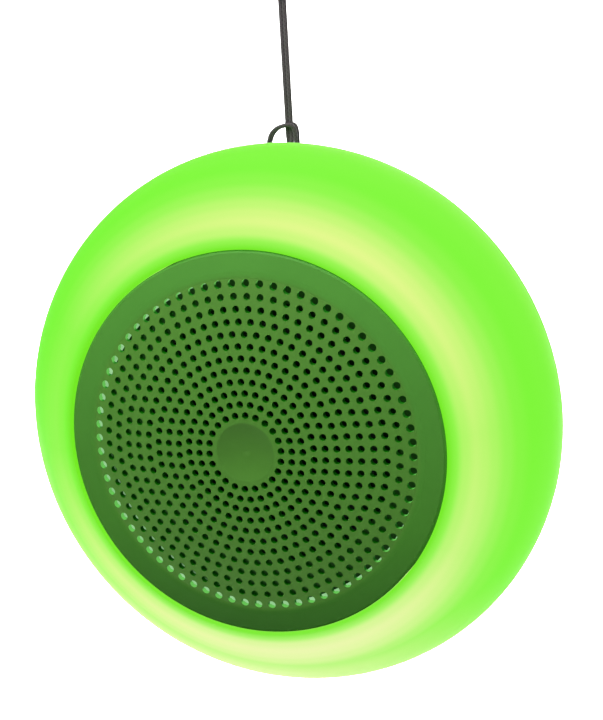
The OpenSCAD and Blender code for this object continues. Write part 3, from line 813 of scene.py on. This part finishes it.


def grille_material(colour):
    """Painted plastic that the glow tints: cooler on the smooth rim, warmer on the dome, with
    painted shade and light by place: darker towards the bottom, in the holes and in the middle
    dish, and a painted glow on the walls of the outermost holes.
    """
    material = plastic("grille_plastic", colour, roughness=0.55, grain=2200.0, depth=0.2,
                       shade=0.05, Specular_IOR_Level=0.12)
    tree = material.node_tree
    shader = tree.nodes["Principled BSDF"]
    at = node(tree, "ShaderNodeTexCoord").outputs["Object"]
    local = node(tree, "ShaderNodeMapping", {"Vector": at, "Location": -CENTRE}).outputs[0]
    part = node(tree, "ShaderNodeSeparateXYZ", {0: local})
    flat = node(tree, "ShaderNodeCombineXYZ", {0: part.outputs[0], 2: part.outputs[2]}).outputs[0]
    radius = node(tree, "ShaderNodeVectorMath", {0: flat}, operation="LENGTH").outputs["Value"]
    on_rim = node(tree, "ShaderNodeMapRange", {
        "Value": radius, "From Min": RIM_START_R, "From Max": RIM_START_R + 1.5 * MM},
        interpolation_type="SMOOTHSTEP").outputs[0]
    height = node(tree, "ShaderNodeMapRange", {
        "Value": part.outputs[2], "From Min": -GRILLE_R, "From Max": GRILLE_R}).outputs[0]
    # Painted shade and light: the dome and the rim are darker towards the bottom and lighter
    # towards the top, the rim much more so.
    dome = ramp(tree, height, [(0.0, (0.80, 0.78, 0.78)), (0.5, (0.92, 0.92, 0.92)),
                               (1.0, (1.08, 1.0, 1.1))], "LINEAR")
    rim = ramp(tree, height, [(0.0, (0.30, 0.46, 0.26)), (0.3, (0.62, 0.80, 0.60)),
                              (0.6, (0.82, 0.98, 0.95)), (1.0, (1.12, 1.28, 1.42))], "LINEAR")
    # Painted shade: the walls of the holes are darkened and tinted green.
    sideways = node(tree, "ShaderNodeSeparateXYZ", {
        0: node(tree, "ShaderNodeNewGeometry").outputs["Normal"]})
    wall = node(tree, "ShaderNodeMapRange", {
        "Value": maths(tree, "ABSOLUTE", sideways.outputs[1]), "From Min": 0.35, "From Max": 0.7,
        "To Min": 1.0, "To Max": 0.0}).outputs[0]
    in_hole = maths(tree, "MULTIPLY", wall, maths(tree, "SUBTRACT", 1.0, on_rim))
    painted_shading = mix(tree, in_hole, mix(tree, on_rim, dome, rim), (0.10, 0.80, 0.03, 1))
    # Painted light: walls of the outermost holes that face the axis glow, standing in for the light
    # guide's light spilling on them.
    outward = node(tree, "ShaderNodeVectorMath", {
        0: node(tree, "ShaderNodeNewGeometry").outputs["Normal"],
        1: node(tree, "ShaderNodeVectorMath", {0: flat}, operation="NORMALIZE").outputs[0],
    }, operation="DOT_PRODUCT").outputs["Value"]
    faces_axis = node(tree, "ShaderNodeMapRange", {
        "Value": outward, "From Min": 0.1, "From Max": -0.5}).outputs[0]
    outermost = node(tree, "ShaderNodeMapRange", {
        "Value": radius, "From Min": OUTER_RING_R - 0.3 * MM, "From Max": OUTER_RING_R}).outputs[0]
    spill = maths(tree, "MULTIPLY", maths(tree, "MULTIPLY", faces_axis, outermost), wall)
    tree.links.new(mix(tree, spill, (0, 0, 0, 1), (0.13, 0.46, 0.09, 1)),
                   shader.inputs["Emission Color"])
    shader.inputs["Emission Strength"].default_value = 1.0
    # Painted shade: the plain dish in the middle is darker, most at its top and least at its
    # bottom.
    in_dish = node(tree, "ShaderNodeMapRange", {
        "Value": radius, "From Min": DISH_R + 0.6 * MM, "From Max": DISH_R}).outputs[0]
    dish = ramp(tree, height, [(0.42, (0.92,) * 3), (0.5, (0.78,) * 3), (0.58, (0.70,) * 3)],
                "LINEAR")
    painted_shading = mix(tree, in_dish, painted_shading, dish)
    tint = shader.inputs["Base Color"].links[0].from_socket
    tree.links.new(mix(tree, 1.0, tint, painted_shading, blend="MULTIPLY"), shader.inputs["Base Color"])
    return material


class SPEAKER_OT_finishes(bpy.types.Operator):
    """Gives the parts of the case, the driver and the electronics their finishes"""

    bl_idname = "speaker.finishes"
    bl_label = "Finishes"

    def execute(self, context):
        colours = context.scene.speaker_plastic
        paint(grille_material(colours.grille), "front_grille")
        paint(plastic("housing_plastic", colours.housing, roughness=0.48, grain=1500.0, depth=0.35,
                      shade=0.12, dust=0.04, Specular_IOR_Level=0.25), "rear_housing", "chassis")
        paint(plastic("seal_rubber", (0.014, 0.014, 0.014), roughness=0.7, grain=1400.0, depth=0.3,
                      shade=0.2, dust=0.1),
              "grille_seal", "neck_seal", "split_seal", "driver_gasket")
        # The light guide glows by emission, a painted glow standing in for the lamps' light through
        # it: bright near its front and painted dark behind GUIDE_LIT_DEPTH.
        guide, tree, shader = new_material("lit_guide", Roughness=0.4, Specular_IOR_Level=0.2)
        at = node(tree, "ShaderNodeTexCoord").outputs["Object"]
        frost = node(tree, "ShaderNodeTexNoise", {"Vector": at, "Scale": 300.0}).outputs[0]
        depth = node(tree, "ShaderNodeSeparateXYZ", {
            0: node(tree, "ShaderNodeMapping", {"Vector": at, "Location": -CENTRE}).outputs[0]})
        painted_dark_depth = node(tree, "ShaderNodeMapRange", {
            "Value": depth.outputs[1], "From Min": GUIDE_LIT_DEPTH,
            "From Max": GUIDE_LIT_DEPTH + 1.4 * MM}).outputs[0]
        lit = mix(tree, frost, (0.16, 0.44, 0.14, 1), (0.42, 0.72, 0.40, 1))
        tree.links.new(mix(tree, painted_dark_depth, lit, (0.0, 0.03, 0.0, 1)),
                       shader.inputs["Emission Color"])
        shader.inputs["Emission Strength"].default_value = 1.0
        tree.links.new(mix(tree, frost, (0.03, 0.06, 0.02, 1), (0.06, 0.1, 0.05, 1)),
                       shader.inputs["Base Color"])
        paint(guide, "light_guide")
        paint(plastic("white_plastic", (0.75, 0.78, 0.72), roughness=0.5),
              "reflector", "battery_tray", "power_plunger", "play_plunger", "minus_plunger",
              "plus_plunger", "light_plunger", "status_lens")
        lamp, tree, shader = new_material("lamp_package", Roughness=0.3)
        at = node(tree, "ShaderNodeTexCoord").outputs["Object"]
        spot = node(tree, "ShaderNodeTexNoise", {"Vector": at, "Scale": 400.0}).outputs[0]
        tree.links.new(mix(tree, spot, (0.5, 1.0, 0.2, 1), (0.9, 1.0, 0.6, 1)),
                       shader.inputs["Emission Color"])
        shader.inputs["Emission Strength"].default_value = 2.0
        paint(lamp, "leds")
        paint(plastic("board_white", (0.7, 0.7, 0.68), roughness=0.35, grain=900.0), "led_board")
        paint(plastic("board_green", (0.02, 0.12, 0.035), roughness=0.3, grain=900.0, shade=0.3),
              "main_board")
        paint(plastic("chip_black", (0.012, 0.012, 0.014), roughness=0.5, grain=2000.0),
              "board_parts", "key_switches")
        # The basket, the cone and the surround are black with a faint green tint, painted light
        # standing in for the shell's green light that reaches them.
        paint(plastic("basket_paint", (0.002, 0.018, 0.001), roughness=0.4, grain=1200.0,
                      Specular_IOR_Level=0.1),
              "driver_frame")
        paint(plastic("coated_pulp", (0.002, 0.016, 0.001), roughness=0.65, grain=700.0, depth=0.6,
                      shade=0.3, Specular_IOR_Level=0.1), "cone", "dust_cap")
        paint(plastic("surround_rubber", (0.002, 0.016, 0.001), roughness=0.55, grain=1500.0,
                      Specular_IOR_Level=0.1),
              "surround")
        paint(plastic("spider_cloth", (0.5, 0.36, 0.12), roughness=0.9, grain=1600.0, depth=0.8),
              "spider")
        paint(plastic("tag_board", (0.25, 0.15, 0.06), roughness=0.8, shade=0.3), "terminal_strip")
        paint(plastic("ferrite", (0.03, 0.03, 0.03), roughness=0.6, grain=1100.0, depth=0.5),
              "magnet")
        paint(plastic("wire_vinyl", (0.32, 0.02, 0.015), roughness=0.35),
              "speaker_wires", "battery_wires", "led_wires")
        paint(metal("plated_steel", (0.55, 0.55, 0.53), roughness=0.28), "top_plate", "yoke",
              "board_screws", "tray_screws", "usb_socket", "microphone", "cover_pin")
        paint(metal("blackened_steel", (0.05, 0.05, 0.052), roughness=0.5), "driver_screws",
              "case_screws")
        paint(metal("brushed_pin", (0.3, 0.3, 0.29), roughness=0.38), "lanyard_bar")
        paint(metal("wound_copper", (0.72, 0.32, 0.14), roughness=0.35, lines=5000.0), "voice_coil")
        paint(metal("battery_foil", (0.55, 0.58, 0.6), roughness=0.4, lines=400.0), "battery")
        return {"FINISHED"}


# ---------------------------------------------------------------- stage


def area_light(name, place_at, aim, size, power, spread=180):
    data = bpy.data.lights.new(name, "AREA")
    data.shape, data.size, data.size_y = "RECTANGLE", size[0], size[1]
    data.energy, data.spread = power, math.radians(spread)
    light = bpy.data.objects.new(name, data)
    bpy.context.collection.objects.link(light)
    light.matrix_world = Matrix.Translation(place_at) @ (
        (Vector(aim) - Vector(place_at)).to_track_quat("-Z", "Y").to_matrix().to_4x4()
    )


class SPEAKER_OT_stage(bpy.types.Operator):
    """Sets a pale swept floor, soft lights and a bright surrounding"""

    bl_idname = "speaker.stage"
    bl_label = "Stage"

    floor_size, floor_z, wall_y, wall_height, sweep = 5, -0.42, 1.3, 2.6, 0.4
    lit_by, seen_as = (0.14, 0.14, 0.14, 1), (0.92, 0.92, 0.92, 1)  # the surroundings
    floor_lift = 0.7  # glow of the floor that only the camera sees

    def execute(self, context):
        clear_selection()
        middle_y, far_y = self.wall_y - self.floor_size / 2, self.floor_size / 2 - 0.1
        bpy.ops.mesh.primitive_plane_add(
            size=self.floor_size, location=(0, middle_y, self.floor_z))
        floor = context.object
        bpy.ops.object.mode_set(mode="EDIT")
        bpy.ops.mesh.select_all(action="DESELECT")
        bpy.ops.object.mode_set(mode="OBJECT")
        for edge in floor.data.edges:
            edge.select = all(floor.data.vertices[v].co.y > far_y for v in edge.vertices)
        bpy.ops.object.mode_set(mode="EDIT")
        bpy.ops.mesh.select_mode(type="EDGE")
        bpy.ops.mesh.extrude_edges_move(TRANSFORM_OT_translate={"value": (0, 0, self.wall_height)})
        bpy.ops.mesh.select_all(action="DESELECT")
        bpy.ops.object.mode_set(mode="OBJECT")
        for edge in floor.data.edges:
            edge.select = all(
                floor.data.vertices[v].co.y > far_y and abs(floor.data.vertices[v].co.z) < 0.01
                for v in edge.vertices
            )
        bpy.ops.object.mode_set(mode="EDIT")
        bpy.ops.mesh.bevel(offset=self.sweep, segments=16)
        bpy.ops.object.mode_set(mode="OBJECT")
        bpy.ops.object.shade_smooth()
        floor.name = "floor"
        pale, tree, shader = new_material("pale_sweep", Roughness=0.8, Specular_IOR_Level=0.2)
        at = node(tree, "ShaderNodeTexCoord").outputs["Object"]
        cloud = node(tree, "ShaderNodeTexNoise", {"Vector": at, "Scale": 3.0}).outputs[0]
        tree.links.new(mix(tree, cloud, (0.88, 0.88, 0.88, 1), (0.9, 0.9, 0.9, 1)),
                       shader.inputs["Base Color"])
        shader.inputs["Emission Color"].default_value = (0.9, 0.9, 0.9, 1)
        eye = node(tree, "ShaderNodeLightPath").outputs["Is Camera Ray"]
        tree.links.new(maths(tree, "MULTIPLY", eye, self.floor_lift),
                       shader.inputs["Emission Strength"])
        floor.data.materials.append(pale)

        world = bpy.data.worlds.new("surroundings")
        world.use_nodes = True
        tree = world.node_tree
        eye = node(tree, "ShaderNodeLightPath").outputs["Is Camera Ray"]
        tree.links.new(mix(tree, eye, self.lit_by, self.seen_as),
                       tree.nodes["Background"].inputs["Color"])
        context.scene.world = world
        area_light("soft_key", CENTRE + Vector((-0.1, -0.55, 0.85)), CENTRE, (0.9, 0.6), 13)
        area_light("soft_fill", CENTRE + Vector((0.5, -0.9, 0.1)), CENTRE, (0.8, 0.8), 0.8)
        area_light("backdrop_wash", CENTRE + Vector((-0.2, 0.75, 1.1)),
                   CENTRE + Vector((-0.3, 0.9, -0.3)), (1.4, 0.6), 30, spread=80)
        context.scene.view_settings.view_transform = "Standard"
        return {"FINISHED"}


# ---------------------------------------------------------------- panel and registration

OPERATORS = (
    SPEAKER_OT_camera, SPEAKER_OT_lanyard, SPEAKER_OT_shell, SPEAKER_OT_buttons, SPEAKER_OT_rear,
    SPEAKER_OT_finishes, SPEAKER_OT_stage,
)


class SPEAKER_PT_panel(bpy.types.Panel):
    """Lists the steps that make the speaker"""

    bl_idname = "SPEAKER_PT_panel"
    bl_label = "Speaker"
    bl_space_type = "VIEW_3D"
    bl_region_type = "UI"
    bl_category = "Speaker"

    def draw(self, context):
        for operator in OPERATORS:
            self.layout.operator(operator.bl_idname)
        for name in SETTINGS:
            group = getattr(context.scene, name)
            for key in group.__annotations__:
                self.layout.prop(group, key)


SETTINGS = {
    "speaker_shell": SpeakerShellSettings,
    "speaker_plastic": SpeakerPlasticSettings,
    "speaker_lanyard": SpeakerLanyardSettings,
    "speaker_stage": SpeakerStageSettings,
}


def register():
    for cls in (*SETTINGS.values(), *OPERATORS, SPEAKER_PT_panel):
        bpy.utils.register_class(cls)
    for name, cls in SETTINGS.items():
        setattr(bpy.types.Scene, name, bpy.props.PointerProperty(type=cls))


def unregister():
    for name in SETTINGS:
        delattr(bpy.types.Scene, name)
    for cls in reversed((*SETTINGS.values(), *OPERATORS, SPEAKER_PT_panel)):
        bpy.utils.unregister_class(cls)


def main():
    register()
    for operator in OPERATORS:
        group, name = operator.bl_idname.split(".")
        getattr(getattr(bpy.ops, group), name)()


if __name__ == "__main__":
    main()
